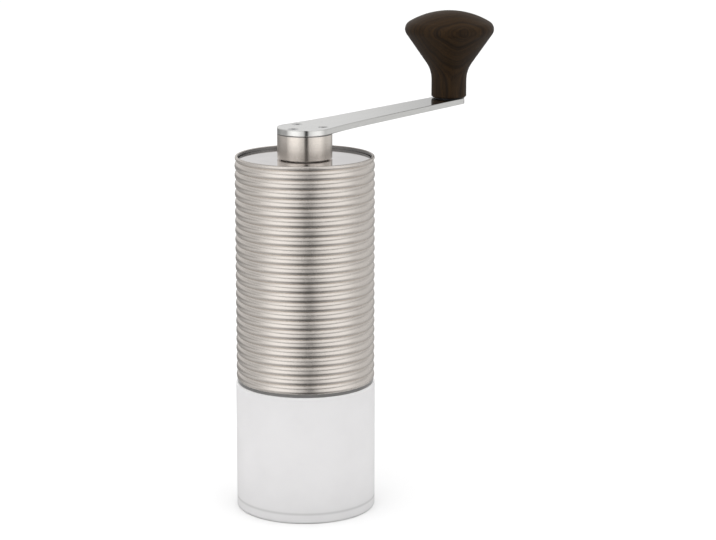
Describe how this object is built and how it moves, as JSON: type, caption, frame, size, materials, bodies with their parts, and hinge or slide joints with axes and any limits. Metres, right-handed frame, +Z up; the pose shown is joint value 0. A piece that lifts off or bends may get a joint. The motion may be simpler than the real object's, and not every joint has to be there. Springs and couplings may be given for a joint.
{
  "type": "manual coffee grinder",
  "caption": "Hand cranked coffee grinder with a ribbed metal body, a screw-on frosted jar, a flat crank arm with a turned wooden knob, and adjustable conical burrs inside.",
  "frame": {"origin": "centre of the jar's underside, on the grinding axis", "axes": "+Z up along the grinding axis, +X along the crank arm from the hub to the knob"},
  "size_m": [0.1628, 0.0604, 0.2079],
  "materials": {
    "frosted_jar": "frosted",
    "grey_rubber": "matte",
    "dark_rubber": "matte",
    "ribbed_steel": "turned satin",
    "lid_steel": "satin",
    "polished_steel": "polished, fine turned lines",
    "arm_steel": "satin top, polished edge",
    "dark_alloy": "dark anodised",
    "liner_plastic": "moulded",
    "burr_steel": "ground",
    "bearing_steel": "polished",
    "brass": "plain",
    "spring_steel": "plain",
    "shaft_steel": "turned",
    "white_plastic": "moulded",
    "dark_wood": "oiled, satin"
  },
  "bodies": {
    "jar": {"jar": "frosted_jar"},
    "seal": {"jar_seal": "grey_rubber"},
    "body": {"body_sleeve": "ribbed_steel", "burr_housing": "dark_alloy", "ring_burr": "burr_steel", "burr_retainer": "shaft_steel", "burr_screws": "spring_steel", "lower_spider": "dark_alloy", "hopper_liner": "liner_plastic", "upper_spider": "dark_alloy", "clamp_ring": "dark_alloy", "lower_outer_race": "bearing_steel", "upper_outer_race": "bearing_steel"},
    "lower_ball_train": {"lower_balls": "bearing_steel", "lower_cage": "brass"},
    "upper_ball_train": {"upper_balls": "bearing_steel", "upper_cage": "brass"},
    "shaft": {"drive_shaft": "shaft_steel", "lower_inner_race": "bearing_steel", "upper_inner_race": "bearing_steel", "shaft_clips": "spring_steel", "spring_washer": "shaft_steel", "burr_spring": "spring_steel", "dial_stop_clip": "spring_steel"},
    "burr": {"inner_burr": "burr_steel", "click_plate": "shaft_steel"},
    "dial": {"adjuster_dial": "dark_alloy", "click_balls": "bearing_steel", "click_springs": "spring_steel"},
    "lid": {"lid": "lid_steel", "lid_bush": "white_plastic", "lid_seal": "dark_rubber"},
    "crank": {"crank_hub": "polished_steel", "crank_arm": "arm_steel", "arm_screws": "spring_steel", "hub_washer": "shaft_steel", "hub_circlip": "spring_steel", "knob_axle": "shaft_steel", "axle_clip": "spring_steel", "knob_washer": "liner_plastic"},
    "knob": {"knob": "dark_wood", "knob_bush": "brass"}
  },
  "joints": [
    {"name": "jar_unscrew", "type": "hinge", "parent": "jar", "child": "seal", "pos_m": [0, 0, 0], "axis": [0, 0, 1], "range_deg": [0, 720]},
    {"name": "body_rise", "type": "slide", "parent": "seal", "child": "body", "axis": [0, 0, 1], "range_m": [0, 0.0081]},
    {"name": "lid_lift", "type": "slide", "parent": "body", "child": "lid", "axis": [0, 0, 1], "range_m": [0, 0.045]},
    {"name": "crank_spin", "type": "hinge", "parent": "lid", "child": "crank", "pos_m": [0, 0, 0], "axis": [0, 0, 1], "continuous": true},
    {"name": "knob_spin", "type": "hinge", "parent": "crank", "child": "knob", "pos_m": [0.112, 0, 0], "axis": [0, 0, 1], "continuous": true},
    {"name": "shaft_spin", "type": "hinge", "parent": "body", "child": "shaft", "pos_m": [0, 0, 0], "axis": [0, 0, 1], "continuous": true},
    {"name": "lower_balls_orbit", "type": "hinge", "parent": "body", "child": "lower_ball_train", "pos_m": [0, 0, 0], "axis": [0, 0, 1], "continuous": true},
    {"name": "upper_balls_orbit", "type": "hinge", "parent": "body", "child": "upper_ball_train", "pos_m": [0, 0, 0], "axis": [0, 0, 1], "continuous": true},
    {"name": "burr_set", "type": "slide", "parent": "shaft", "child": "burr", "axis": [0, 0, 1], "range_m": [0, 0.0015], "deforming": ["burr_spring"]},
    {"name": "dial_turn", "type": "hinge", "parent": "burr", "child": "dial", "pos_m": [0, 0, 0], "axis": [0, 0, 1], "range_deg": [0, 721]}
  ],
  "couplings": [
    {"joint": "body_rise", "follows": "jar_unscrew", "m_per_rad": 0.00063662},
    {"joint": "shaft_spin", "follows": "crank_spin", "ratio": 1},
    {"joint": "lower_balls_orbit", "follows": "crank_spin", "ratio": 0.4},
    {"joint": "upper_balls_orbit", "follows": "crank_spin", "ratio": 0.4},
    {"joint": "dial_turn", "follows": "burr_set", "rad_per_m": 8377.6}
  ]
}
